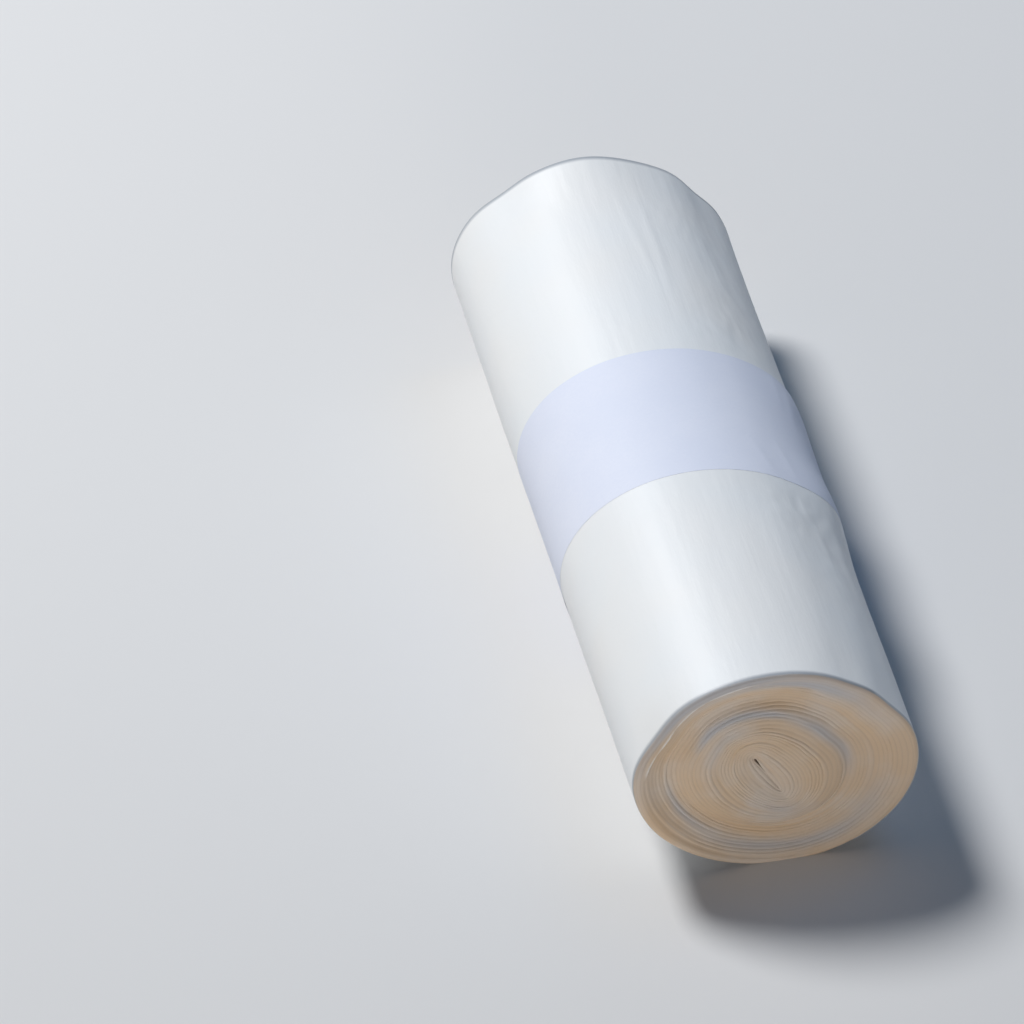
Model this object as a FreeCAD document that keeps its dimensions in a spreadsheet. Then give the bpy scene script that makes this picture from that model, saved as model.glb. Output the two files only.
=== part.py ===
import FreeCAD, Part
import Sketcher
import math
import os

# A coreless roll of bin bags, held by a paper band glued on itself.
# The roll lies on its side on a small flat spot. Its axis runs along Y, +Z is up, and the
# origin is on the surface that it lies on, below the middle of the roll.
# Lengths are in millimetres and angles in degrees.

doc = FreeCAD.newDocument("bin_bag_roll")

# ---- driving dimensions --------------------------------------------------------------

sizes = {
    # the wound film
    "roll_length": 290,     # from end to end
    "oval_width": 106,      # first axis of the roll's oval section
    "oval_height": 90,      # second axis, square to the first
    "oval_lean": -16,       # angle of the first axis over level
    "flat_depth": 1.8,      # how far the soft roll is flattened where it lies
    "flat_blend": 12,       # radius between the flat spot and the round sides
    # each end, where the turns have slid along the axis
    "rim_round": 2,         # rounded edge of the outermost turns
    "rim_level": 0.8,       # least width of the level ring between the rounded edge and the dish
    "dish_width": 13,       # width of the slope inside the rim
    "dish_depth": 4,        # how far the slope goes in
    "plug_slope": 5,        # width of the flank of the innermost turns
    "plug_height": 3.2,     # how far the innermost turns stand out of the dish
    # the flattened eye that the winding bar leaves, right through the roll
    "eye_length": 18,
    "eye_width": 1.4,
    "eye_across": -3,       # place of its middle, from the middle of the oval
    "eye_up": -2.6,
    "eye_lean": -60,
    # the paper band
    "band_width": 68,
    "band_shift": 1.3,      # from the middle of the roll to the middle of the band
    "paper": 0.2,           # thickness
    "paper_gap": 0.05,      # clearance between the film and the paper
    "seat_gap": 0.3,        # clearance beside the paper where it is pressed into the film
    "lap_start": 300,       # angles round the oval between which the paper's end lies on itself
    "lap_end": 322,
}

sheet = doc.addObject("Spreadsheet::Sheet", "Sizes")
for row, (alias, value) in enumerate(sizes.items(), start=1):
    sheet.set("A%d" % row, alias)
    sheet.set("B%d" % row, str(value))
    sheet.setAlias("B%d" % row, alias)
doc.recompute()


def size(alias):
    """The number that the sheet holds."""
    return float(sheet.get(alias))


def total(aliases):
    return sum(size(alias) for alias in aliases)


def plus(aliases):
    """The same sum as text for an expression."""
    return "".join(" + Sizes.%s" % alias for alias in aliases)


def minus(aliases):
    return "".join(" - Sizes.%s" % alias for alias in aliases)


# How far the oval's lowest point is below its centre, as a number and as an expression.
LOWEST = math.hypot(
    size("oval_width") / 2 * math.sin(math.radians(size("oval_lean"))),
    size("oval_height") / 2 * math.cos(math.radians(size("oval_lean"))),
)
LOWEST_FORMULA = (
    "sqrt((Sizes.oval_width / 2 * sin(Sizes.oval_lean * 1deg))^2"
    " + (Sizes.oval_height / 2 * cos(Sizes.oval_lean * 1deg))^2)"
)

# ---- sketches ------------------------------------------------------------------------


def new_body(label):
    """A body that stands on the surface: its own origin is at the centre of the oval."""
    body = doc.addObject("PartDesign::Body", label)
    body.Label = label
    body.setExpression("Placement.Base.z", "(%s - Sizes.flat_depth) * 1mm" % LOWEST_FORMULA)
    return body


def new_sketch(body, name, inwards=None):
    """A sketch across the roll. `inwards` is its depth below the front end, as an expression."""
    across = next(plane for plane in body.Origin.OriginFeatures if plane.Role == "XZ_Plane")
    sketch = body.newObject("Sketcher::SketchObject", name)
    sketch.AttachmentSupport = [(across, "")]
    sketch.MapMode = "FlatFace"
    if inwards is not None:
        # the plane's own normal points to the front end, along -Y
        sketch.setExpression("AttachmentOffset.Base.z", "(Sizes.roll_length / 2%s) * 1mm" % inwards)
    return sketch


def constrain(sketch, expression, *constraint):
    """Adds a constraint with a value and binds the value to an expression."""
    index = sketch.addConstraint(Sketcher.Constraint(*constraint))
    sketch.renameConstraint(index, "size_%d" % index)
    sketch.setExpression("Constraints.size_%d" % index, expression)


def add_oval(sketch, outside=(), inside=(), span=None):
    """The roll's oval, grown by the sum of `outside` and shrunk by the sum of `inside`.

    `span` is a pair of angles from the first axis: then only that arc of the oval is drawn.
    """
    growth = total(outside) - total(inside)
    width_half = size("oval_width") / 2 + growth
    height_half = size("oval_height") / 2 + growth
    lean = math.radians(size("oval_lean"))
    centre = FreeCAD.Vector(0, 0, 0)
    width_end = FreeCAD.Vector(math.cos(lean), math.sin(lean), 0) * width_half
    height_end = FreeCAD.Vector(-math.sin(lean), math.cos(lean), 0) * height_half
    # an ellipse is given by its longer axis, and its angles count from there
    if width_half >= height_half:
        curve = Part.Ellipse(width_end, height_end, centre)
        first = 0
    else:
        curve = Part.Ellipse(height_end, width_end * -1, centre)
        first = math.pi / 2
    if span is not None:
        curve = Part.ArcOfEllipse(curve, span[0] - first, span[1] - first)
    oval = sketch.addGeometry(curve, False)
    sketch.exposeInternalGeometry(oval)
    axes = [oval + 1, oval + 2]
    if first:
        axes.reverse()
    slope = sketch.addGeometry(Part.LineSegment(centre, width_end), True)
    sketch.addConstraint([
        Sketcher.Constraint("Coincident", oval, 3, -1, 1),
        Sketcher.Constraint("Coincident", slope, 1, -1, 1),
        Sketcher.Constraint("PointOnObject", slope, 2, oval),
        Sketcher.Constraint("Parallel", slope, axes[0]),
    ])
    grown = plus(outside) + minus(inside)
    constrain(sketch, "(Sizes.oval_width / 2%s) * 2mm" % grown, "Distance", axes[0], 2 * width_half)
    constrain(sketch, "(Sizes.oval_height / 2%s) * 2mm" % grown, "Distance", axes[1], 2 * height_half)
    constrain(sketch, "Sizes.oval_lean * 1deg", "Angle", -1, slope, lean)
    return oval


def draw_section(sketch, outside=(), raised=()):
    """The closed oval with its flat spot, which is raised by the sum of `raised`."""
    growth = total(outside)
    flat = LOWEST - size("flat_depth") - total(raised)
    lean = math.radians(size("oval_lean"))
    rise = (size("oval_width") / 2 + growth) * math.sin(lean)
    run = (size("oval_height") / 2 + growth) * math.cos(lean)
    # the oval's height at its own angle u is  rise * cos(u) + run * sin(u)
    turn = math.atan2(rise, run)
    right = math.asin(-flat / math.hypot(rise, run)) - turn
    left = math.pi - right - 2 * turn
    oval = add_oval(sketch, outside, span=(right, left))
    arc = sketch.Geometry[oval]
    floor = sketch.addGeometry(Part.LineSegment(arc.EndPoint, arc.StartPoint), False)
    sketch.addConstraint(Sketcher.Constraint("Coincident", oval, 2, floor, 1))
    sketch.addConstraint(Sketcher.Constraint("Coincident", oval, 1, floor, 2))
    sketch.addConstraint(Sketcher.Constraint("Horizontal", floor))
    formula = "(%s - Sizes.flat_depth%s) * 1mm" % (LOWEST_FORMULA, minus(raised))
    constrain(sketch, formula, "DistanceY", floor, 1, -1, 1, flat)


def draw_lap(sketch):
    """The paper's end: a strip that starts inside the band's paper and ends one paper outside it."""
    lean = size("oval_lean")
    start = math.radians(size("lap_start") - lean)
    end = math.radians(size("lap_end") - lean)
    inner = add_oval(sketch, ("paper_gap",), span=(start, end))
    outer = add_oval(sketch, ("paper_gap", "paper", "paper"), span=(start, end))
    for point, alias in ((1, "lap_start"), (2, "lap_end")):
        near = sketch.getPoint(inner, point)
        far = sketch.getPoint(outer, point)
        edge = sketch.addGeometry(Part.LineSegment(near, far), False)
        sketch.addConstraint(Sketcher.Constraint("Coincident", edge, 1, inner, point))
        sketch.addConstraint(Sketcher.Constraint("Coincident", edge, 2, outer, point))
        sketch.addConstraint(Sketcher.Constraint("PointOnObject", -1, 1, edge))
        angle = math.radians(size(alias))
        constrain(sketch, "Sizes.%s * 1deg" % alias, "Angle", -1, edge, angle)


def draw_eye(sketch):
    """A slot with round ends."""
    middle = FreeCAD.Vector(size("eye_across"), size("eye_up"), 0)
    angle = math.radians(size("eye_lean"))
    along = FreeCAD.Vector(math.cos(angle), math.sin(angle), 0)
    beside = FreeCAD.Vector(-along.y, along.x, 0)
    radius = size("eye_width") / 2
    reach = size("eye_length") / 2 - radius
    upper = middle - along * reach
    lower = middle + along * reach
    up = FreeCAD.Vector(0, 0, 1)
    quarter = math.pi / 2
    round_1 = sketch.addGeometry(
        Part.ArcOfCircle(Part.Circle(upper, up, radius), angle + quarter, angle + 3 * quarter), False)
    round_2 = sketch.addGeometry(
        Part.ArcOfCircle(Part.Circle(lower, up, radius), angle - quarter, angle + quarter), False)
    side_1 = sketch.addGeometry(
        Part.LineSegment(upper - beside * radius, lower - beside * radius), False)
    side_2 = sketch.addGeometry(
        Part.LineSegment(lower + beside * radius, upper + beside * radius), False)
    spine = sketch.addGeometry(Part.LineSegment(upper, lower), True)
    centre = sketch.addGeometry(Part.Point(middle), True)
    sketch.addConstraint([
        Sketcher.Constraint("Tangent", round_1, 2, side_1, 1),
        Sketcher.Constraint("Tangent", side_1, 2, round_2, 1),
        Sketcher.Constraint("Tangent", round_2, 2, side_2, 1),
        Sketcher.Constraint("Tangent", side_2, 2, round_1, 1),
        Sketcher.Constraint("Coincident", spine, 1, round_1, 3),
        Sketcher.Constraint("Coincident", spine, 2, round_2, 3),
        Sketcher.Constraint("Symmetric", spine, 1, spine, 2, centre, 1),
    ])
    constrain(sketch, "Sizes.eye_width / 2 * 1mm", "Radius", round_1, radius)
    constrain(sketch, "(Sizes.eye_length - Sizes.eye_width) * 1mm", "Distance", spine, 2 * reach)
    constrain(sketch, "Sizes.eye_lean * 1deg", "Angle", -1, spine, angle)
    constrain(sketch, "Sizes.eye_across * 1mm", "DistanceX", -1, 1, centre, 1, middle.x)
    constrain(sketch, "Sizes.eye_up * 1mm", "DistanceY", -1, 1, centre, 1, middle.y)


def cut_below(body, name, width, middle, depth):
    """Cuts the underside level, `depth` above its lowest point. The values are expressions."""
    box = body.newObject("PartDesign::SubtractiveBox", name)
    box.setExpression("Length", "Sizes.oval_width * 1mm")
    box.setExpression("Width", "%s * 1mm" % width)
    box.setExpression("Height", "%s * 1mm" % depth)
    box.setExpression("Placement.Base.x", "-Sizes.oval_width / 2 * 1mm")
    box.setExpression("Placement.Base.y", "(%s - %s / 2) * 1mm" % (middle, width))
    box.setExpression("Placement.Base.z", "-(%s) * 1mm" % LOWEST_FORMULA)
    return box


def must_change(feature, before, sign):
    """Stops if a feature added or cut nothing. Returns its volume for the next comparison."""
    doc.recompute()
    after = feature.Shape.Volume
    if (after - before) * sign <= 0:
        raise RuntimeError("%s changed nothing" % feature.Name)
    return after


# ---- bag_roll: all the turns of film as one solid --------------------------------------

roll = new_body("bag_roll")

section = new_sketch(roll, "Section")
add_oval(section)
wound = roll.newObject("PartDesign::Pad", "Wound")
wound.Profile = section
wound.SideType = "Symmetric"
wound.setExpression("Length", "Sizes.roll_length * 1mm")
volume = must_change(wound, 0, 1)

flat = cut_below(roll, "FlatSpot", "Sizes.roll_length", "0", "Sizes.flat_depth")
volume = must_change(flat, volume, -1)

# the flat spot runs out softly into the round sides, and both into the rounded rims
length_edges = []
for number, edge in enumerate(flat.Shape.Edges, start=1):
    over_flat = edge.CenterOfMass.z + LOWEST - size("flat_depth")
    if edge.BoundBox.YLength > size("rim_round") and abs(over_flat) < size("flat_depth") / 10:
        length_edges.append("Edge%d" % number)
blended = roll.newObject("PartDesign::Fillet", "FlatBlend")
blended.Base = (flat, length_edges)
blended.setExpression("Radius", "Sizes.flat_blend * 1mm")
volume = must_change(blended, volume, -1)

end_edges = []
for number, edge in enumerate(blended.Shape.Edges, start=1):
    if edge.BoundBox.YLength < size("rim_round"):
        end_edges.append("Edge%d" % number)
rounded = roll.newObject("PartDesign::Fillet", "RimRound")
rounded.Base = (blended, end_edges)
rounded.setExpression("Radius", "Sizes.rim_round * 1mm")
volume = must_change(rounded, volume, -1)

rim = ("flat_depth", "rim_round", "rim_level")
mouth = new_sketch(roll, "DishMouth", inwards="")
add_oval(mouth, inside=rim)
dish_floor = new_sketch(roll, "DishFloor", inwards=" - Sizes.dish_depth")
add_oval(dish_floor, inside=rim + ("dish_width",))
dish = roll.newObject("PartDesign::SubtractiveLoft", "Dish")
dish.Profile = mouth
dish.Sections = [dish_floor]
dish.Ruled = True
volume = must_change(dish, volume, -1)

root = new_sketch(roll, "PlugRoot", inwards=" - Sizes.dish_depth")
add_oval(root, inside=rim + ("dish_width",))
top = new_sketch(roll, "PlugTop", inwards=" - Sizes.dish_depth + Sizes.plug_height")
add_oval(top, inside=rim + ("dish_width", "plug_slope"))
plug = roll.newObject("PartDesign::AdditiveLoft", "Plug")
plug.Profile = root
plug.Sections = [top]
plug.Ruled = True
volume = must_change(plug, volume, 1)

# the back end is like the front one
both_ends = roll.newObject("PartDesign::Mirrored", "BothEnds")
both_ends.Originals = [dish, plug]
across = next(plane for plane in roll.Origin.OriginFeatures if plane.Role == "XZ_Plane")
both_ends.MirrorPlane = (across, [""])
roll.Tip = both_ends
volume = must_change(both_ends, volume, -1)

eye_outline = new_sketch(roll, "EyeOutline")
draw_eye(eye_outline)
eye = roll.newObject("PartDesign::Pocket", "Eye")
eye.Profile = eye_outline
eye.Type = "ThroughAll"
eye.SideType = "Symmetric"
volume = must_change(eye, volume, -1)

# under the band the paper presses the flat spot in, so that both meet the surface
seat = cut_below(
    roll, "BandSeat", "(Sizes.band_width + 2 * Sizes.seat_gap)", "Sizes.band_shift",
    "(Sizes.flat_depth + Sizes.paper + Sizes.paper_gap)")
volume = must_change(seat, volume, -1)

# ---- label_band: the paper strip round the middle -------------------------------------

band = new_body("label_band")
band.setExpression("Placement.Base.y", "Sizes.band_shift * 1mm")

outside = new_sketch(band, "PaperOutside")
draw_section(outside, ("paper_gap", "paper"))
paper = band.newObject("PartDesign::Pad", "Paper")
paper.Profile = outside
paper.SideType = "Symmetric"
paper.setExpression("Length", "Sizes.band_width * 1mm")
band_volume = must_change(paper, 0, 1)

lap_outline = new_sketch(band, "LapOutline")
draw_lap(lap_outline)
lap = band.newObject("PartDesign::Pad", "Lap")
lap.Profile = lap_outline
lap.SideType = "Symmetric"
lap.setExpression("Length", "Sizes.band_width * 1mm")
band_volume = must_change(lap, band_volume, 1)

bore = new_sketch(band, "PaperInside")
draw_section(bore, ("paper_gap",), raised=("paper",))
opening = band.newObject("PartDesign::Pocket", "Opening")
opening.Profile = bore
opening.Type = "ThroughAll"
opening.SideType = "Symmetric"
band_volume = must_change(opening, band_volume, -1)

# ---- check and write -------------------------------------------------------------------

doc.recompute()
for item in doc.Objects:
    if "Invalid" in item.State or "Error" in item.State:
        raise RuntimeError("%s failed: %s" % (item.Name, item.State))

os.makedirs("parts", exist_ok=True)
for body in (roll, band):
    if body.Shape.isNull() or not body.Shape.isValid():
        raise RuntimeError("%s has no valid solid" % body.Label)
    body.Shape.exportStep("parts/%s.step" % body.Label)
    box = body.Shape.optimalBoundingBox(False)
    print("%s: %d solid, %.0f mm3, x %.2f to %.2f, y %.2f to %.2f, z %.2f to %.2f" % (
        body.Label, len(body.Shape.Solids), body.Shape.Volume,
        box.XMin, box.XMax, box.YMin, box.YMax, box.ZMin, box.ZMax))
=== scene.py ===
import math
import random

import bpy
import numpy as np
from mathutils import Matrix, Vector, noise


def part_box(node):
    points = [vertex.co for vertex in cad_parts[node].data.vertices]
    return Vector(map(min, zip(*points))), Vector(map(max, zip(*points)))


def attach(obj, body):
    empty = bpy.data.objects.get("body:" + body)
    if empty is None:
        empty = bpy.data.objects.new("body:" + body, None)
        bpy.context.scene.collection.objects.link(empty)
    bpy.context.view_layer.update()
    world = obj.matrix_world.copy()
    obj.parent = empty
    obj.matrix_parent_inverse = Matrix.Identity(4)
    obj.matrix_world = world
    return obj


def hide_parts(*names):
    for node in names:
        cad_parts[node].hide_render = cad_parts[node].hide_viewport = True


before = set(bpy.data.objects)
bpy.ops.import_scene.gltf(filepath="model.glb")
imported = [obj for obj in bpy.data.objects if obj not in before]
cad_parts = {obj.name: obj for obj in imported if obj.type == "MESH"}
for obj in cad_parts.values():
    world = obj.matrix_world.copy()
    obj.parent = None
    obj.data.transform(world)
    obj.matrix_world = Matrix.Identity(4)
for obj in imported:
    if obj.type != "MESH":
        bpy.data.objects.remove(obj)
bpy.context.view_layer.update()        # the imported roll: nodes bag_roll and label_band, both on the body root

mm = 0.001

# the roll's oval section, pressed level where it lies; film and paper both follow it
rollShape = {
    "width": 106 * mm,          # the oval's first axis
    "height": 90 * mm,          # the second
    "lean": math.radians(-16),  # first axis over level
    "flatDepth": 1.8 * mm,      # pressed in where it lies
    "flatSoftness": 0.25 * mm,
    "paperRoom": 0.5 * mm,      # how high the film lies on the paper band underneath
    "paperStep": 1.6 * mm,      # it comes down from there over this length beside the band
}
rollEnds = [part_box("bag_roll")[0][1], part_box("bag_roll")[1][1]]
bandEnds = [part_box("label_band")[0][1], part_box("label_band")[1][1]]
lowest = math.hypot(
    rollShape["width"] / 2 * math.sin(rollShape["lean"]),
    rollShape["height"] / 2 * math.cos(rollShape["lean"]),
)
axisHeight = lowest - rollShape["flatDepth"]
meanRadius = (rollShape["width"] + rollShape["height"]) / 4


def bumpHeight(bumps, angle, along):
    # soft round bumps and hollows, added up
    lift = np.zeros(np.broadcast(angle, along).shape)
    for atAngle, atPlace, angleSpread, placeSpread, height in bumps:
        around = np.remainder(np.degrees(angle) - atAngle + 180, 360) - 180
        away = (around / angleSpread) ** 2 + ((along / mm - atPlace) / placeSpread) ** 2
        lift = lift + height * mm * np.exp(-away)
    return lift


def lineHeight(lines, angle, along):
    # soft straight ridges and furrows, added up; each one fades out at both of its ends
    lift = np.zeros(np.broadcast(angle, along).shape)
    for startAngle, startPlace, endAngle, endPlace, width, height in lines:
        around = np.remainder(np.degrees(angle) - startAngle + 180, 360) - 180
        aside = np.radians(around) * meanRadius / mm
        ahead = along / mm - startPlace
        runAside = math.radians(endAngle - startAngle) * meanRadius / mm
        runAhead = endPlace - startPlace
        share = (aside * runAside + ahead * runAhead) / (runAside ** 2 + runAhead ** 2)
        share = np.clip(share, 0, 1)
        apart = np.hypot(aside - share * runAside, ahead - share * runAhead)
        fade = np.sin(math.pi * np.clip(share, 0.04, 0.96)) ** 0.6
        lift = lift + height * mm * fade * np.exp(-(apart / width) ** 2)
    return lift


def noiseHeight(spots):
    # smooth noise from -1 to 1 at each place of an array
    values = [noise.noise(Vector(spot)) for spot in spots.reshape(-1, 3)]
    return np.array(values).reshape(spots.shape[:-1])


def roundNoise(angle, cells, third, finer=1, shift=0):
    # smooth noise that meets itself again once round the roll; shift picks another part of it
    spots = np.stack(np.broadcast_arrays(
        cells * np.cos(angle), cells * np.sin(angle), third), axis=-1)
    return noiseHeight(spots * finer + shift)


def turnNoise(turn, cells, seed, row):
    # smooth noise along the wound film
    return noiseHeight(np.stack([turn * cells, turn * 0 + seed, turn * 0 + row], axis=-1))


def between(first, second, share):
    return first * (1 - share) + second * share


def randomValues(seed, count, amount):
    # the same values every time for the same seed
    draw = random.Random(seed)
    return np.array([draw.uniform(-amount, amount) for _ in range(count)])


def ovalRadius(angle):
    # distance from the axis to the oval, in the direction of the angle
    first = rollShape["width"] / 2
    second = rollShape["height"] / 2
    turned = angle - rollShape["lean"]
    return first * second / np.hypot(second * np.cos(turned), first * np.sin(turned))


def pressLevel(x, along, height, floor):
    # points of the roll, with the underside pressed level at the floor's height
    soft = rollShape["flatSoftness"]
    level = floor + soft * np.logaddexp(0, (height - floor) / soft)
    return np.stack(np.broadcast_arrays(x, along, level), axis=-1)


def underBand(along):
    # one under the paper band and nought elsewhere, with an even slope between
    step = rollShape["paperStep"]
    inside = np.minimum(along - bandEnds[0], bandEnds[1] - along) + 2 * step
    return np.clip(inside / step, 0, 1)


def deselectAll():
    for item in list(bpy.context.selected_objects):
        item.select_set(False)


def pick(item):
    deselectAll()
    item.select_set(True)
    bpy.context.view_layer.objects.active = item


def addSheet(name, points):
    # a grid with a vertex for each point, laid to those points
    rows, columns = points.shape[:2]
    deselectAll()
    bpy.ops.mesh.primitive_grid_add(x_subdivisions=columns - 1, y_subdivisions=rows - 1, size=1)
    sheet = bpy.context.active_object
    sheet.name = name
    sheet.data.name = name
    sheet.data.vertices.foreach_set("co", points.reshape(-1))
    sheet.data.update()
    return sheet


def addValues(item, name, values):
    # a value for each vertex, which the finishes read by its name
    layer = item.data.attributes.new(name, "FLOAT", "POINT")
    layer.data.foreach_set("value", np.asarray(values, dtype=np.float32).reshape(-1))


def joinAll(items, name):
    deselectAll()
    for item in items:
        item.select_set(True)
    bpy.context.view_layer.objects.active = items[0]
    bpy.ops.object.join()
    joined = bpy.context.active_object
    joined.name = name
    joined.data.name = name
    return joined


def pointOutwards(item):
    pick(item)
    bpy.ops.object.mode_set(mode="EDIT")
    bpy.ops.mesh.select_all(action="SELECT")
    bpy.ops.mesh.normals_make_consistent(inside=False)
    bpy.ops.object.mode_set(mode="OBJECT")


def smooth(item, angle):
    pick(item)
    bpy.ops.object.shade_smooth_by_angle(angle=math.radians(angle))


# film roll: one long length of flat-folded bags, wound without a core. Angles run in degrees
# from its right side over the top, places along it in mm from its middle
filmRoll = {
    "around": 192,               # vertices round each turn
    "lengthStep": 1.75 * mm,     # between rows along the side
    "tailAngle": 306,            # where the outermost turn ends, on the hidden underside
    "tailStep": 0.45 * mm,       # thickness of the folded film at that edge
    "facet": 0.10 * mm,          # height of the faint flats along the roll
    "facetCells": 3.6,           # noise cells on the roll's radius
    "facetLength": 160 * mm,
    "crinkle": 0.10 * mm,        # height of the faint crumpling all over
    "crinkleCells": 3.2,
    "crinkleLength": 26 * mm,
    "ridgeLevel": 0.3,           # ridges stand over smooth film by this share of a rumple
    "ridgeFiner": 2.4,           # how much smaller than the crinkles they are
    "puckerFiner": 4.6,          # the same for the finest puckers
    "puckerShare": 0.5,
    "strayFiner": 1.3,           # and for how a crease wanders
    "creaseStray": math.radians(3),  # how far a crease wanders round the roll
    "creaseDrift": 2 * mm,           # and along it
    "endFade": 4 * mm,           # crinkles come in over this length at the rims
    "endPlain": 0.7,             # after this share of it
    "bandPress": 0.96,           # how much of them the paper presses flat
    "turns": 33,                 # turns between the outside and the eye
    "across": 4,                 # faces across the edge of one turn
    "uneven": 0.34,              # how much the turns differ in thickness
    "wander": 0.30,              # how far a turn strays sideways, in turns
    "wanderCells": 1.7,
    "wanderRings": 9,            # noise cells from the outside to the eye
    "groove": 0.18 * mm,         # how far the edges' round tops stand over the grooves
    "foldMean": 0.6,             # share of a fold's height that lies at the end's level
    "foldFull": 1.3,             # folds thinner than 1 / this of the mean stand less high
    "slip": 0.30 * mm,           # how far single turns have slid along their neighbours
    "slipCells": 1.9,            # noise cells in one turn
    "slipGain": 1.8,             # makes more of that noise, and of the turns' tones
    "ripple": 0.12 * mm,         # small waves along each turn's edge
    "rippleCells": 14,
    "smoothRim": 1.3,            # mm at the rim without single turns
    "smoothFade": 2.5,           # mm over which they start
    "merge": 0.001 * mm,         # corners closer than this become one
    "sharpAngle": 50,            # degrees from which an edge stays sharp
    # soft swellings and hollows: angle, place, spread in degrees and mm, height in mm
    "swellings": [
        (17, -28, 20, 19, 2.2),
        (15, 24, 18, 20, 0.5),
        (133, 150, 11, 34, -1.5),
        (94, 150, 22, 24, 2.5),
        (29, 150, 13, 40, -2.1),
        (-4, 150, 9, 30, 1.6),
        (152, -152, 14, 15, -2.8),
        (28, -152, 13, 34, -1.8),
        (54, -152, 12, 30, -1.0),
        (46, -100, 12, 60, -0.35),
        (62, -70, 10, 50, 0.25),
        (205, 60, 22, 40, 0.5),
        (250, -50, 20, 36, -0.6),
        (300, 40, 24, 50, 0.5),
        (340, -90, 20, 40, -0.7),
        (335, 90, 18, 30, 0.5),
    ],
    # angle and place where a crease starts and ends, its width and height in mm
    "creases": [
        (81.5, 139, 80, 58, 1.0, 0.15),
        (73, 132, 71.5, 56, 1.2, 0.20),
        (69, 120, 66, 70, 1.0, -0.12),
        (107, 53, 103, 51, 0.6, 0.30),
        (104, 50, 100, 48, 0.5, 0.16),
        (112, 62, 106, 60, 0.6, 0.12),
        (140, 137, 124, 133, 0.8, 0.22),
        (136, 132, 120, 129, 0.8, -0.16),
        (132, 126, 118, 124, 0.9, 0.14),
        (60, -38, 54, -62, 2.4, 0.10),
        (38, -44, 27, -88, 3.6, -0.34),
        (30, -40, 22, -66, 2.4, 0.14),
        (36, 108, 31, 62, 3.0, -0.16),
        (196, 40, 190, 90, 1.2, 0.20),
        (236, -60, 228, -120, 1.4, -0.24),
        (282, 70, 290, 130, 1.4, 0.22),
        (352, 90, 346, 40, 1.4, 0.24),
        (344, -100, 350, -44, 1.4, -0.24),
    ],
    # rumpled places: angle, place, spread in degrees and mm, height in mm
    "rumples": [
        (50, -48, 16, 16, 0.34),
        (28, -62, 18, 34, 0.36),
        (22, -20, 20, 22, 0.20),
        (34, 70, 16, 34, 0.26),
        (54, 52, 16, 14, 0.22),
        (50, 118, 20, 18, 0.24),
        (128, 134, 26, 9, 0.16),
        (165, 60, 24, 36, 0.08),
        (172, -84, 22, 36, 0.08),
        (108, 55, 14, 8, 0.12),
        (200, -60, 26, 60, 0.12),
        (330, 20, 30, 80, 0.16),
        (250, 90, 30, 40, 0.14),
    ],
}

# the slit left where the innermost fold was, open at its upper end
eye = {
    "middle": (-3 * mm, -2.6 * mm),  # right of the roll's axis and above it
    "length": 18 * mm,
    "wide": 3.0 * mm,                # at the open end
    "narrow": 0.06 * mm,             # where the fold is pressed shut
    "lean": math.radians(-60),       # its shut end points down and to the right
    "taper": 10,                     # how soon it narrows behind its open end
    # steps into the roll: how deep, and how much narrower than the one before
    "sinks": [(0.8 * mm, 0.92), (2 * mm, 0.8), (5 * mm, 0.5), (8 * mm, 0.3)],
}

# both ends of the roll are dished, and their middle stands out like a plug, off centre
endShape = {
    # distance in from the outside and depth below the highest ring, in mm
    "profile": [
        (0.0, 0.9), (0.3, 0.45), (0.8, 0.15), (1.5, 0.0), (2.5, 0.0), (3.6, 0.35), (5.0, 0.8),
        (7.0, 1.5), (9.5, 2.4), (14, 3.6), (17, 4.1), (19.4, 4.0), (23, 2.2), (27, 1.3),
        (34, 0.7), (41, 0.9), (45, 1.4), (49, 2.2),
    ],
    "plugShift": 4.2,                  # mm off the middle
    "plugTowards": math.radians(150),
    "shiftFrom": 4,                    # mm in from the outside where the shift begins
    "shiftOver": 6,                    # mm over which it grows
    "wave": 0.35 * mm,                 # slow waves of the whole end
    "waveCells": 1.3,
    "waveStep": 9,                     # mm from wave to wave, going in
    "waveOver": 6,                     # mm from the outside over which they grow
}
rimDepth = endShape["profile"][0][1] * mm

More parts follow.
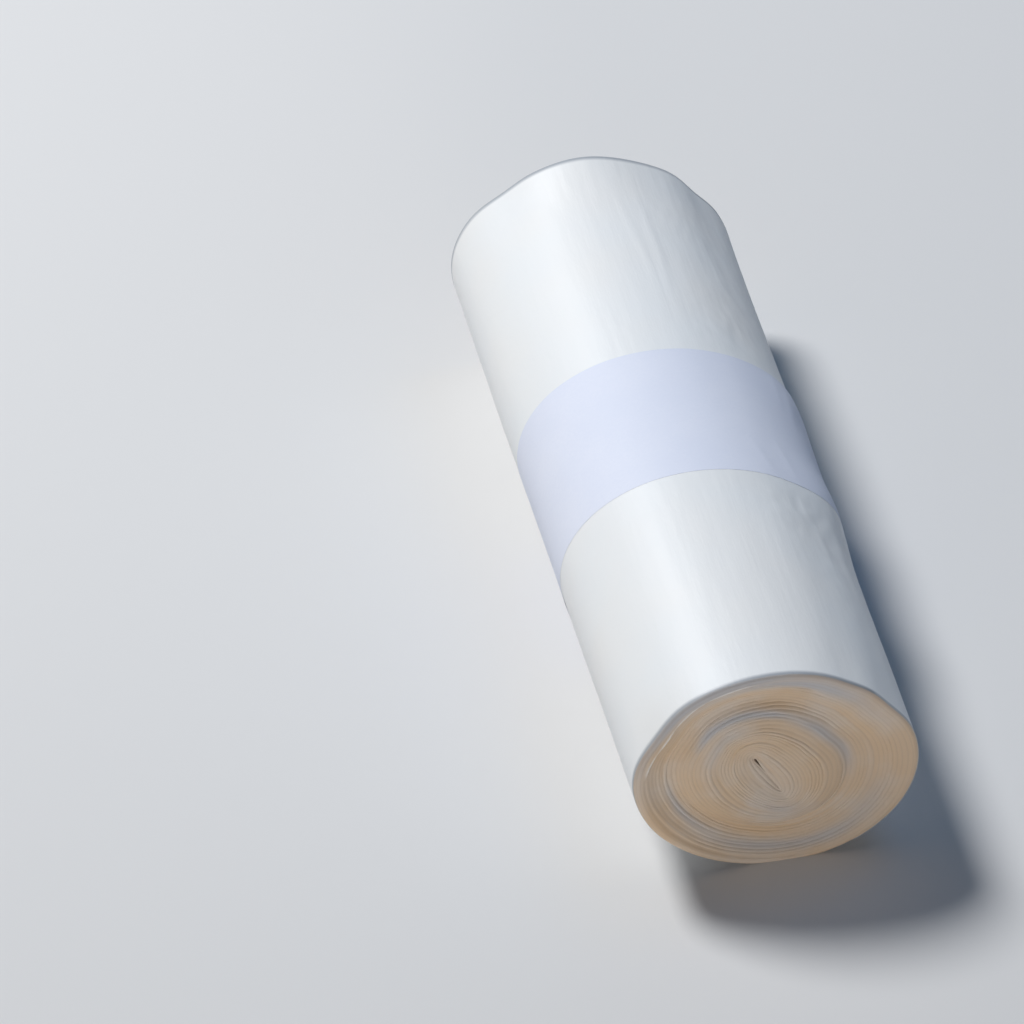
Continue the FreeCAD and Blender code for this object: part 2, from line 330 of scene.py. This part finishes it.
# marks are single places that stand out or in: angle, mm in from the outside, spread in
# degrees and mm, height in mm. edges are single film edges that stand out or in, as lines:
# angle and mm in where they start and end, width and height in mm; those that stand out are
# also painted paler, a painted highlight. tints are painted light: over nought a painted warm
# glow of bounce light, below nought a painted cool sky-lit shade: angle, mm in, spread in
# degrees and mm, tone
frontEnd = {
    "place": rollEnds[0],
    "inwards": 1,
    "seed": 11,
    "marks": [
        (84, 3.6, 30, 1.6, -0.35),
        (20, 5.4, 26, 0.5, 0.35),
        (250, 3.0, 40, 0.5, 0.35),
        (252, 4.2, 40, 0.6, -0.35),
        (300, 9.5, 26, 1.4, -0.5),
        (205, 11, 30, 1.2, 0.35),
        (60, 31, 40, 1.5, 0.35),
    ],
    "edges": [
        (174, 4.4, 158, 5.4, 0.55, 0.8),
        (158, 5.4, 144, 5.2, 0.60, 1.0),
        (144, 5.2, 126, 3.6, 0.60, 1.0),
        (126, 3.6, 98, 2.9, 0.55, 0.7),
        (172, 3.2, 146, 3.4, 0.6, -0.4),
        (124, 5.8, 101, 6.5, 0.8, -0.6),
        (101, 6.5, 83, 7.5, 0.8, -0.6),
        (83, 7.5, 58, 10, 0.9, -0.5),
        (250, 3.0, 284, 3.4, 0.5, 0.3),
        (196, 6.2, 226, 6.0, 0.5, 0.3),
    ],
    # painted light: warm bounce light over nought, cool sky-lit shade below nought, among them the blue-grey
    # shade on the plug's upper flank and on the rim's top
    "paintedLight": [
        (138, 11.5, 26, 2.5, 0.6),
        (96, 11.5, 22, 2.2, 0.6),
        (32, 12.5, 24, 2.5, 0.5),
        (0, 10, 20, 4, 0.35),
        (180, 20, 26, 7, 0.6),
        (225, 21, 24, 4, 0.7),
        (262, 17.5, 24, 2.4, 0.9),
        (290, 22, 18, 4, 0.4),
        (128, 39, 60, 6, 0.5),
        (0, 40, 40, 9, 0.4),
        (203, 2.6, 26, 4, 1.0),
        (140, 21.0, 18, 2.2, -0.9),
        (112, 21.5, 20, 1.8, -1.0),
        (86, 23, 20, 1.8, -0.9),
        (40, 24, 26, 2.2, -0.9),
        (6, 23, 18, 2.2, -0.6),
        (88, 6, 30, 2.4, -0.8),
        (193, 13.5, 14, 2.0, -0.7),
        (212, 12.3, 16, 1.8, -0.6),
        (262, 10, 34, 2.8, -0.8),
        (300, 8, 20, 3, -0.6),
        (275, 35, 34, 5, -0.5),
        (140, 29, 30, 3, -0.5),
        (331, 11, 20, 4, -0.4),
        (122, 1.2, 46, 2.4, -1.3),
        (56, 5, 26, 4, -0.7),
    ],
}
backEnd = {
    "place": rollEnds[1],
    "inwards": -1,
    "seed": 27,
    "marks": [
        (70, 4.8, 40, 0.5, 0.6),
        (66, 3.4, 36, 0.7, -0.4),
        (200, 7.0, 30, 1.0, -0.6),
        (310, 12, 36, 1.4, 0.4),
        (140, 30, 40, 1.6, 0.4),
    ],
    "edges": [
        (30, 4.0, 64, 5.2, 0.5, 0.7),
        (64, 5.2, 96, 4.0, 0.5, 0.6),
        (110, 7, 150, 8, 0.9, -0.5),
        (240, 5, 290, 4.6, 0.5, 0.4),
    ],
    # painted light: warm bounce light over nought, cool sky-lit shade below nought
    "paintedLight": [
        (60, 12, 30, 3, 0.6),
        (150, 16, 40, 4, 0.5),
        (250, 20, 40, 4, 0.6),
        (320, 6, 34, 3, 0.5),
        (100, 22, 34, 3, -0.7),
        (200, 9, 30, 3, -0.6),
        (20, 28, 36, 5, -0.5),
        (60, 1.5, 60, 2.0, -0.8),
    ],
}


def turnAngles():
    start = math.radians(filmRoll["tailAngle"])
    return start + np.linspace(0, 2 * math.pi, filmRoll["around"] + 1)


def filmRadius(angle, along, wound):
    # the outside of the film; wound runs from 0 at its tail to 1 where it goes under the tail
    facets = roundNoise(angle, filmRoll["facetCells"], along / filmRoll["facetLength"])
    radius = ovalRadius(angle) + bumpHeight(filmRoll["swellings"], angle, along)
    radius = radius + filmRoll["facet"] * facets
    return radius - filmRoll["tailStep"] * np.clip(wound, 0, 1)


def crinkles(angle, along):
    # faint crumpling, with sharper little ridges where the film is rumpled
    cells, length = filmRoll["crinkleCells"], along / filmRoll["crinkleLength"]
    soft = roundNoise(angle, cells, length)
    stray = roundNoise(angle, cells, length, filmRoll["strayFiner"], 4)
    folds = roundNoise(angle, cells, length, filmRoll["ridgeFiner"], 7)
    puckers = roundNoise(angle, cells, length, filmRoll["puckerFiner"], 2)
    ridges = filmRoll["ridgeLevel"] - np.abs(folds) + filmRoll["puckerShare"] * puckers
    lift = filmRoll["crinkle"] * soft + bumpHeight(filmRoll["rumples"], angle, along) * ridges
    bent = angle + stray * filmRoll["creaseStray"]
    lift = lift + lineHeight(filmRoll["creases"], bent, along + soft * filmRoll["creaseDrift"])
    nearEnd = np.minimum(along - rollEnds[0], rollEnds[1] - along) / filmRoll["endFade"]
    pressed = filmRoll["bandPress"] * underBand(along)
    return lift * np.clip(nearEnd - filmRoll["endPlain"], 0, 1) * (1 - pressed)


def makeSide():
    angle = turnAngles()[:, None]
    wound = np.linspace(0, 1, filmRoll["around"] + 1)[:, None]
    low, high = rollEnds[0] + rimDepth, rollEnds[1] - rimDepth
    rows = int((high - low) / filmRoll["lengthStep"])
    along = np.linspace(low, high, rows)[None, :]
    radius = filmRadius(angle, along, wound) + crinkles(angle, along)
    paperUnder = rollShape["paperRoom"] * underBand(along)
    height = axisHeight + radius * np.sin(angle)
    points = pressLevel(radius * np.cos(angle), along, height, paperUnder)
    side = addSheet("side", points)
    share = np.linspace(0, 1, filmRoll["across"] + 1)[:, None, None]
    tailEdge = addSheet("tailEdge", between(points[:1], points[-1:], share))
    for sheet in (side, tailEdge):
        # below nought on the side, nought at the rims, and up to one at the eye, so that the
        # colours of the ends stop at the rims
        inset = np.full((len(sheet.data.vertices) // rows, rows), -1.0)
        inset[:, [0, -1]] = 0
        addValues(sheet, "inset", inset)
        addValues(sheet, "turnTone", 0 * inset)
        addValues(sheet, "crown", 0 * inset + 1)
        addValues(sheet, "paintedBounceAndSky", 0 * inset)
        addValues(sheet, "proud", 0 * inset)
    return [side, tailEdge]


def eyeOutline(angle):
    lean = eye["lean"]
    reach = np.cos(angle - lean)
    opening = np.clip((1 - reach) / 2, 0, 1) ** eye["taper"]
    width = eye["narrow"] + (eye["wide"] - eye["narrow"]) * opening
    ahead = eye["length"] / 2 * reach
    aside = width / 2 * np.sin(angle - lean)
    x = eye["middle"][0] + ahead * math.cos(lean) - aside * math.sin(lean)
    z = eye["middle"][1] + ahead * math.sin(lean) + aside * math.cos(lean)
    return x, z


def turnEdges(seed):
    # the share of the way from the outside to the eye at which each turn starts
    thickness = 1 + randomValues(seed, filmRoll["turns"] - 1, filmRoll["uneven"])
    return np.concatenate([[0, 0], np.cumsum(thickness), [thickness.sum()]]) / thickness.sum()


def acrossEnd(sweep, edge, seed):
    # where the outer side of a turn runs, after so many turns from the tail
    angle = math.radians(filmRoll["tailAngle"]) + 2 * math.pi * sweep
    edges = turnEdges(seed)
    inset = np.interp(sweep, np.arange(len(edges)), edges)
    rings = inset * filmRoll["wanderRings"] + seed
    sideways = roundNoise(angle, filmRoll["wanderCells"], rings)
    inset = inset + sideways * filmRoll["wander"] / filmRoll["turns"] * 4 * inset * (1 - inset)
    rim = filmRadius(angle, np.full_like(angle, edge), sweep)
    eyeX, eyeZ = eyeOutline(angle)
    x = between(rim * np.cos(angle), eyeX, inset)
    z = between(rim * np.sin(angle), eyeZ, inset)
    return angle, inset, x, z


def endDepth(inset, angle, end):
    # how far in the end lies, in metres, apart from its single turns
    steps = inset * meanRadius / mm
    shift = endShape["plugShift"] * np.cos(angle - endShape["plugTowards"])
    shift = shift * np.sin(math.pi * inset)
    shift = shift * np.clip((steps - endShape["shiftFrom"]) / endShape["shiftOver"], 0, 1)
    reach, depth = zip(*endShape["profile"])
    level = np.interp(steps + shift, reach, depth) * mm
    waves = roundNoise(angle, endShape["waveCells"], steps / endShape["waveStep"])
    level = level + endShape["wave"] * waves * np.clip(steps / endShape["waveOver"], 0, 1)
    single = bumpHeight(end["marks"], angle, steps * mm)
    single = single + lineHeight(end["edges"], angle, steps * mm)
    return np.maximum(level - single * np.clip(steps, 0, 1), 0)


def makeTurns(name, end):
    inwards, seed = end["inwards"], end["seed"]
    edge = end["place"] + inwards * rimDepth
    around, across = filmRoll["around"], filmRoll["across"]
    sweep = np.arange(around * filmRoll["turns"] + 1) / around
    angle, outer, outerX, outerZ = acrossEnd(sweep, edge, seed)
    _, inner, innerX, innerZ = acrossEnd(sweep + 1, edge, seed)
    share = np.linspace(0, 1, across + 1)[None, :]
    angle = np.repeat(angle[:, None], across + 1, axis=1)
    inset = between(outer[:, None], inner[:, None], share)
    x = between(outerX[:, None], innerX[:, None], share)
    z = between(outerZ[:, None], innerZ[:, None], share)
    # each turn's edge is a round fold, and single turns have slid out or in for part of their way
    thick = np.clip((inner - outer) * filmRoll["turns"] * filmRoll["foldFull"], 0, 1)[:, None]
    crown = np.sqrt(np.clip(1 - (2 * share - 1) ** 2, 0, 1)) * thick
    turn = sweep[:, None]
    slid = turnNoise(turn, filmRoll["slipCells"], seed, 0) * filmRoll["slipGain"]
    ripple = turnNoise(turn, filmRoll["rippleCells"], seed, 5)
    start = (inset * meanRadius / mm - filmRoll["smoothRim"]) / filmRoll["smoothFade"]
    lift = filmRoll["groove"] * (crown - filmRoll["foldMean"]) + crown * (
        filmRoll["slip"] * slid + filmRoll["ripple"] * ripple)
    depth = np.maximum(endDepth(inset, angle, end) - np.clip(start, 0, 1) * lift, 0)
    points = pressLevel(x, end["place"] + inwards * depth, axisHeight + z, 0)
    strip = addSheet(name, points)
    addValues(strip, "inset", inset)
    addValues(strip, "turnTone", np.repeat(slid, across + 1, axis=1))
    addValues(strip, "crown", crown)
    steps = inset * meanRadius
    # painted warm bounce light and cool sky-lit shade, which the film's finish lays on the ends
    addValues(strip, "paintedBounceAndSky", bumpHeight(end["paintedLight"], angle, steps) / mm)
    # heights of the single edges, from which the finish paints a highlight
    addValues(strip, "proud", lineHeight(end["edges"], angle, steps) / mm)
    return strip


def selectVertices(item, wanted):
    mesh = item.data
    mesh.polygons.foreach_set("select", np.zeros(len(mesh.polygons), dtype=bool))
    mesh.edges.foreach_set("select", np.zeros(len(mesh.edges), dtype=bool))
    mesh.vertices.foreach_set("select", wanted)


def sinkEye(item, end):
    # the open rim of the eye is extruded inwards, narrower at each step, then drawn shut
    inwards = end["inwards"]
    inset = np.empty(len(item.data.vertices), dtype=np.float32)
    item.data.attributes["inset"].data.foreach_get("value", inset)
    places = np.empty(3 * len(inset), dtype=np.float32)
    item.data.vertices.foreach_get("co", places)
    pick(item)
    selectVertices(item, (inset > 0.99999) & (places[1::3] * inwards < 0))  # one end's eye rim
    middle = Vector((eye["middle"][0], 0, axisHeight + eye["middle"][1]))
    bpy.ops.object.mode_set(mode="EDIT")
    bpy.ops.mesh.select_mode(type="VERT")
    for depth, narrower in eye["sinks"]:
        bpy.ops.mesh.extrude_region_move(
            TRANSFORM_OT_translate={"value": (0, inwards * depth, 0)})
        bpy.ops.transform.resize(value=(narrower, 1, narrower), center_override=middle)
    bpy.ops.mesh.merge(type="COLLAPSE")
    bpy.ops.object.mode_set(mode="OBJECT")


def makeRoll():
    sheets = makeSide()
    sheets.append(makeTurns("frontTurns", frontEnd))
    sheets.append(makeTurns("backTurns", backEnd))
    roll = joinAll(sheets, "filmRoll")
    bpy.ops.object.mode_set(mode="EDIT")
    bpy.ops.mesh.select_all(action="SELECT")
    bpy.ops.mesh.remove_doubles(threshold=filmRoll["merge"])
    bpy.ops.object.mode_set(mode="OBJECT")
    sinkEye(roll, frontEnd)
    sinkEye(roll, backEnd)
    pointOutwards(roll)
    smooth(roll, filmRoll["sharpAngle"])
    print("film roll:", len(roll.data.polygons), "faces")
    return roll


roll = makeRoll()


# label band: a strip of paper wrapped round the middle and glued on itself
labelBand = {
    "around": 320,               # faces along the strip
    "across": 52,
    "lapStart": 300,             # angle where the strip starts, and where its end lies on it
    "lapLength": 22,             # degrees of lap
    "lapRise": 5,                # degrees over which it climbs onto its first end
    "paper": 0.06 * mm,
    "gap": 0.02 * mm,
    "underneath": 0.01 * mm,     # it lies this far over the floor
    "nearWander": 0.35 * mm,     # how far the strip's edges stray from straight
    "nearCells": 1.8,
    "farWander": 0.20 * mm,
    "farCells": 1.5,
    "inside": 0.35,              # share of a stray by which both edges are drawn in
    "tailEase": 0.96,            # share of the turn after which it rises over the film's tail
    "sharpAngle": 40,
    # places where it stands off the film: angle, place, spread in degrees and mm, height in mm
    "lifts": [
        (14, 26, 22, 15, 1.3),
        (14, 3, 18, 14, 0.9),
        (202, -33, 9, 9, 1.2),
        (214, -33, 10, 8, 0.8),
        (262, 26, 20, 14, 0.3),
    ],
    # soft folds: angle and place where they start and end, width and height in mm
    "folds": [
        (157, 20, 148, 6, 2.8, 0.10),
        (148, 7, 147, -12, 2.6, 0.12),
        (147, -11, 151, -19, 2.6, 0.10),
        (60, -12, 53, -31, 2.0, 0.10),
        (46, -8, 40, -32, 2.4, 0.14),
        (30, 34, 32, 14, 1.8, 0.12),
        (24, 28, 27, 6, 2.4, 0.16),
        (240, 20, 236, -20, 1.6, 0.20),
    ],
}


def bandRadius(angle, along, turn):
    # the paper's inner side: on the film, and then on its own first end
    wound = np.remainder(angle - math.radians(filmRoll["tailAngle"]), 2 * math.pi) / (2 * math.pi)
    wound = wound * np.interp(wound, [labelBand["tailEase"], 1], [1, 0])
    radius = filmRadius(angle, along, wound) + labelBand["gap"]
    lift = bumpHeight(labelBand["lifts"], angle, along)
    lift = lift + lineHeight(labelBand["folds"], angle, along)
    radius = radius + np.maximum(lift, 0)
    lapped = np.clip((turn - 2 * math.pi) / math.radians(labelBand["lapRise"]) + 1, 0, 1)
    return radius + lapped * (labelBand["paper"] + labelBand["gap"] / 2)


def makeBand():
    wholeTurn = 2 * math.pi + math.radians(labelBand["lapLength"])
    turn = np.linspace(0, wholeTurn, labelBand["around"] + 1)[:, None]
    angle = math.radians(labelBand["lapStart"]) + turn
    nearStray = roundNoise(angle, 1, 0, labelBand["nearCells"], 3) + labelBand["inside"]
    farStray = roundNoise(angle, 1, 0, labelBand["farCells"], 9) - labelBand["inside"]
    low = bandEnds[0] + labelBand["nearWander"] * nearStray
    high = bandEnds[1] + labelBand["farWander"] * farStray
    along = low + (high - low) * np.linspace(0, 1, labelBand["across"] + 1)[None, :]
    radius = bandRadius(angle, along, turn)
    height = axisHeight + radius * np.sin(angle)
    floor = labelBand["paper"] + labelBand["underneath"]
    band = addSheet("labelBand", pressLevel(radius * np.cos(angle), along, height, floor))
    pointOutwards(band)
    wall = band.modifiers.new("paper", "SOLIDIFY")
    wall.thickness = labelBand["paper"]
    wall.offset = 1
    bpy.ops.object.modifier_apply(modifier=wall.name)
    smooth(band, labelBand["sharpAngle"])
    print("label band:", len(band.data.polygons), "faces")
    return band


band = makeBand()


class Wire:
    # one output of a node, which can stand in a sum
    def __init__(self, maker, socket):
        self.maker = maker
        self.socket = socket

    def combine(self, operation, first, second):
        return self.maker.add("ShaderNodeMath", {"operation": operation}, {0: first, 1: second})

    def __add__(self, other):
        return self.combine("ADD", self, other)

    def __radd__(self, other):
        return self.combine("ADD", other, self)

    def __sub__(self, other):
        return self.combine("SUBTRACT", self, other)

    def __rsub__(self, other):
        return self.combine("SUBTRACT", other, self)

    def __mul__(self, other):
        return self.combine("MULTIPLY", self, other)

    def __rmul__(self, other):
        return self.combine("MULTIPLY", other, self)


class MaterialMaker:
    def __init__(self, name):
        self.material = bpy.data.materials.new(name)
        self.material.use_nodes = True
        self.tree = self.material.node_tree
        self.tree.nodes.clear()

    def add(self, kind, settings, inputs, output=0):
        made = self.tree.nodes.new(kind)
        for setting, value in settings.items():
            setattr(made, setting, value)
        for key, value in inputs.items():
            if isinstance(value, Wire):
                self.tree.links.new(value.socket, made.inputs[key])
            else:
                made.inputs[key].default_value = value
        return Wire(self, made.outputs[output]) if made.outputs else None

    def place(self):
        return self.add("ShaderNodeTexCoord", {}, {}, output="Object")

    def value(self, name):
        settings = {"attribute_type": "GEOMETRY", "attribute_name": name}
        return self.add("ShaderNodeAttribute", settings, {}, output="Fac")

    def noise(self, place, scale, detail=3.0, stretch=(1, 1, 1)):
        mapped = self.add("ShaderNodeMapping", {}, {"Vector": place, "Scale": stretch})
        inputs = {"Vector": mapped, "Scale": scale, "Detail": detail}
        return self.add("ShaderNodeTexNoise", {}, inputs)

    def spread(self, value, low, high):
        # nought at low, one at high, and even between them
        inputs = {"Value": value, "From Min": low, "From Max": high}
        return self.add("ShaderNodeMapRange", {"clamp": True}, inputs)

    def tint(self, share, first, second):
        # the second colour laid over the first, as far as the share says
        inputs = {0: share, 6: first, 7: second}
        return self.add("ShaderNodeMix", {"data_type": "RGBA"}, inputs, output=2)

    def finish(self, settings):
        shader = self.add("ShaderNodeBsdfPrincipled", {}, settings)
        self.add("ShaderNodeOutputMaterial", {}, {"Surface": shader})
        return self.material


def colour(red, green, blue):
    return (red, green, blue, 1)


filmFinish = {
    "side": colour(0.84, 0.865, 0.88),
    "sideWarm": colour(0.86, 0.865, 0.86),
    # the ends' tan is partly the film edges' own beige and partly painted warm bounce light
    "endPale": colour(0.66, 0.58, 0.50),
    "endTan": colour(0.65, 0.51, 0.37),
    # painted shade in the grooves between the folds
    "groove": colour(0.40, 0.33, 0.27),
    # painted warm bounce light and painted cool sky-lit shade, laid on the ends by the tints
    "paintedBounceLight": colour(0.70, 0.52, 0.34),
    "paintedSkyShade": colour(0.50, 0.51, 0.54),
    # painted highlight on single film edges that stand out
    "pale": colour(0.88, 0.87, 0.86),
    # painted shade along the rounded rims
    "paintedRimShade": colour(0.34, 0.37, 0.41),
    "roughness": 0.43,
    "roughChange": 0.15,         # how much rougher and smoother the streaks are
    "endRougher": 0.2,
    "bend": 1.5,                 # index of refraction
    "shine": 0.4,
    "streakSize": 4 * mm,        # fine lines, drawn out along the roll
    "streakStretch": (1, 0.06, 1),
    "streakHeight": 0.5,
    "crumpleSize": 9 * mm,
    "crumpleHeight": 0.8,
    "grainSize": 0.7 * mm,
    "grainHeight": 0.10,
    "softStretch": (1, 0.4, 1),  # of crumples and grain
    "bumpStrength": 0.42,
    "bumpDepth": 0.6 * mm,
    "cloudCells": 18,            # per metre
    "cloudRange": (0.35, 0.65),
    "lineWide": 2.0 * mm,        # the grey line of painted shade at the rims
    "lineFull": 0.5 * mm,        # of that, as dark as it gets
    "lineWander": 1.2 * mm,
    "rimShadeShare": 0.85,
    "mottleCells": 45,           # tan and pale patches of the ends
    "toneShare": 0.10,           # how much single turns differ
    "toneRange": (0.38, 0.66),
    "bounceLightShare": 0.8,
    "skyShadeShare": 0.95,
    "edgeHighlightShare": 0.85,
    "edgeHighlightRange": (0.15, 0.7),    # height of single edges in mm
    "grooveShadeShare": 0.2,
    "grooveRange": (0.8, 0.0),   # height over the groove, from a fold's top at 1
    "endStart": 0.004,           # inset from which the end's colours hold
}


def makeFilm():
    film = MaterialMaker("binBagFilm")
    place = film.place()
    # the side: satin white, with faint lines drawn out along the roll
    streaks = film.noise(place, 1 / filmFinish["streakSize"], stretch=filmFinish["streakStretch"])
    crumples = film.noise(place, 1 / filmFinish["crumpleSize"], stretch=filmFinish["softStretch"])
    clouds = film.noise(place, filmFinish["cloudCells"], detail=2.0)
    cloudy = film.spread(clouds, *filmFinish["cloudRange"])
    side = film.tint(cloudy, filmFinish["side"], filmFinish["sideWarm"])
    # a thin grey line round both rims, painted shade of the rounded rim edge
    along = film.add("ShaderNodeSeparateXYZ", {}, {"Vector": place}, "Y")
    along = film.add("ShaderNodeMath", {"operation": "ABSOLUTE"}, {0: along})
    along = along + (clouds - 0.5) * filmFinish["lineWander"]
    rim = rollEnds[1] - rimDepth
    paintedRimShade = film.spread(along, rim - filmFinish["lineWide"], rim - filmFinish["lineFull"])
    side = film.tint(paintedRimShade * filmFinish["rimShadeShare"], side, filmFinish["paintedRimShade"])
    # the ends: stacked folds, tan and pale in turn, the tan partly the film's own colour and partly
    # painted warm bounce light; over them the painted light of the tints (warm bounce light, cool
    # sky-lit shade), a painted highlight on the edges that stand out and painted shade in the grooves
    patches = film.noise(place, filmFinish["mottleCells"])
    tones = patches + film.value("turnTone") * filmFinish["toneShare"]
    paler = film.spread(tones, *filmFinish["toneRange"])
    end = film.tint(paler, filmFinish["endTan"], filmFinish["endPale"])
    # painted light: warm bounce light and cool sky-lit shade on the ends
    paintedBounceAndSky = film.value("paintedBounceAndSky")
    paintedBounceLight = film.spread(paintedBounceAndSky, 0.0, 1.0) * filmFinish["bounceLightShare"]
    paintedSkyShade = film.spread(paintedBounceAndSky, 0.0, -1.0) * filmFinish["skyShadeShare"]
    # painted highlight: film edges that stand out are made paler, as if they caught the light
    pale = film.spread(film.value("proud"), *filmFinish["edgeHighlightRange"]) * filmFinish["edgeHighlightShare"]
    # painted shade: the grooves between the folds' round tops are darkened
    groove = film.spread(film.value("crown"), *filmFinish["grooveRange"])
    groove = groove * filmFinish["grooveShadeShare"]
    end = film.tint(paintedBounceLight, end, filmFinish["paintedBounceLight"])
    end = film.tint(paintedSkyShade, end, filmFinish["paintedSkyShade"])
    end = film.tint(pale, end, filmFinish["pale"])
    end = film.tint(groove, end, filmFinish["groove"])
    isEnd = film.spread(film.value("inset"), 0.0, filmFinish["endStart"])
    grain = film.noise(place, 1 / filmFinish["grainSize"], stretch=filmFinish["softStretch"])
    height = streaks * filmFinish["streakHeight"] + crumples * filmFinish["crumpleHeight"]
    bump = film.add("ShaderNodeBump", {}, {
        "Strength": filmFinish["bumpStrength"], "Distance": filmFinish["bumpDepth"],
        "Height": height + grain * filmFinish["grainHeight"]})
    rough = filmFinish["roughness"] + (streaks - 0.5) * filmFinish["roughChange"]
    return film.finish({
        "Base Color": film.tint(isEnd, side, end),
        "Roughness": rough + isEnd * filmFinish["endRougher"], "Normal": bump,
        "IOR": filmFinish["bend"], "Specular IOR Level": filmFinish["shine"]})


paperFinish = {
    "lavender": colour(0.745, 0.785, 0.905),
    "paler": colour(0.775, 0.81, 0.92),
    "roughness": 0.6,
    "roughChange": 0.1,
    "bend": 1.45,                # index of refraction
    "shine": 0.25,
    "cloudCells": 30,            # per metre
    "fibreSize": 1.1 * mm,
    "fibreShare": 0.3,           # of the mottling, the rest being clouds
    "mottleRange": (0.4, 0.6),
    "bumpStrength": 0.15,
    "bumpDepth": 0.2 * mm,
}


def makePaper():
    paper = MaterialMaker("bandPaper")
    place = paper.place()
    clouds = paper.noise(place, paperFinish["cloudCells"])
    fibres = paper.noise(place, 1 / paperFinish["fibreSize"], detail=4.0)
    fine = paperFinish["fibreShare"]
    mottling = clouds * (1 - fine) + fibres * fine
    share = paper.spread(mottling, *paperFinish["mottleRange"])
    bump = paper.add("ShaderNodeBump", {}, {
        "Strength": paperFinish["bumpStrength"], "Distance": paperFinish["bumpDepth"],
        "Height": fibres})
    rough = paperFinish["roughness"] + (clouds - 0.5) * paperFinish["roughChange"]
    return paper.finish({
        "Base Color": paper.tint(share, paperFinish["lavender"], paperFinish["paler"]),
        "Roughness": rough, "Normal": bump,
        "IOR": paperFinish["bend"], "Specular IOR Level": paperFinish["shine"]})


def dress(piece, material, node):
    piece.data.materials.clear()
    piece.data.materials.append(material)
    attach(piece, "root")
    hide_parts(node)


dress(roll, makeFilm(), "bag_roll")
dress(band, makePaper(), "label_band")
print("materials made")


# a lamp stands off the roll's middle: degrees round its axis from the right side over the
# top, and then degrees back towards the far end
studio = {
    "floorSize": 8.0,
    "floorColour": colour(0.72, 0.72, 0.72),
    "floorRoughness": 0.9,
    "skyColour": colour(0.50, 0.72, 1.0),
    "skyStrength": 0.055,
    "key": {"round": 114, "back": 26, "distance": 2.2, "size": 0.7, "power": 45.5,
            "tint": colour(1.0, 1.0, 1.0)},
    "edge": {"round": 66, "back": 5, "distance": 1.6, "size": 0.9, "power": 2.0,
             "tint": colour(0.10, 0.45, 1.0)},
    "fill": {"round": 150, "back": -76, "distance": 1.5, "size": 0.9, "power": 8.0,
             "tint": colour(1.0, 0.90, 0.80)},
}
rollMiddle = Vector((0, 0, axisHeight))


def makeFloor():
    deselectAll()
    bpy.ops.mesh.primitive_plane_add(size=studio["floorSize"], location=(0, 0, 0))
    floor = bpy.context.active_object
    floor.name = "floor"
    pale = MaterialMaker("paleFloor")
    floor.data.materials.append(pale.finish({
        "Base Color": studio["floorColour"], "Roughness": studio["floorRoughness"]}))


def makeLamp(name):
    lamp = studio[name]
    turn, back = math.radians(lamp["round"]), math.radians(lamp["back"])
    level = math.cos(back)
    away = Vector((math.cos(turn) * level, math.sin(back), math.sin(turn) * level))
    data = bpy.data.lights.new(name, "AREA")
    data.shape = "DISK"
    data.size = lamp["size"]
    data.energy = lamp["power"]
    data.color = lamp["tint"][:3]
    made = bpy.data.objects.new(name, data)
    bpy.context.scene.collection.objects.link(made)
    made.location = rollMiddle + away * lamp["distance"]
    made.rotation_mode = "QUATERNION"
    made.rotation_quaternion = (-away).to_track_quat("-Z", "Y")


def makeSky():
    sky = bpy.data.worlds.new("studioSky")
    sky.use_nodes = True
    backdrop = sky.node_tree.nodes["Background"]
    backdrop.inputs["Color"].default_value = studio["skyColour"]
    backdrop.inputs["Strength"].default_value = studio["skyStrength"]
    bpy.context.scene.world = sky
    bpy.context.scene.view_settings.view_transform = "Standard"


cameraView = {
    "turn": math.radians(-13.05),    # round from the front end towards the left
    "rise": math.radians(41.62),
    "distance": 4.36,
    "right": 60.8 * mm,              # the roll's middle is right of the view's middle
    "up": 2.2 * mm,
    "lens": 423,
    "sensor": 36,
}


def makeCamera():
    turn, rise = cameraView["turn"], cameraView["rise"]
    right = Vector((math.cos(turn), math.sin(turn), 0))
    level = math.cos(rise)
    back = Vector((math.sin(turn) * level, -math.cos(turn) * level, math.sin(rise)))
    up = back.cross(right)
    data = bpy.data.cameras.new("camera")
    data.lens = cameraView["lens"]
    data.sensor_width = cameraView["sensor"]
    data.clip_end = 4 * cameraView["distance"]
    camera = bpy.data.objects.new("camera", data)
    bpy.context.scene.collection.objects.link(camera)
    aside = right * cameraView["right"] + up * cameraView["up"]
    camera.location = rollMiddle + back * cameraView["distance"] - aside
    camera.rotation_mode = "QUATERNION"
    camera.rotation_quaternion = Matrix((right, up, back)).transposed().to_quaternion()
    bpy.context.scene.camera = camera


makeFloor()
makeLamp("key")
makeLamp("fill")
makeLamp("edge")
makeSky()
makeCamera()
print("studio ready")
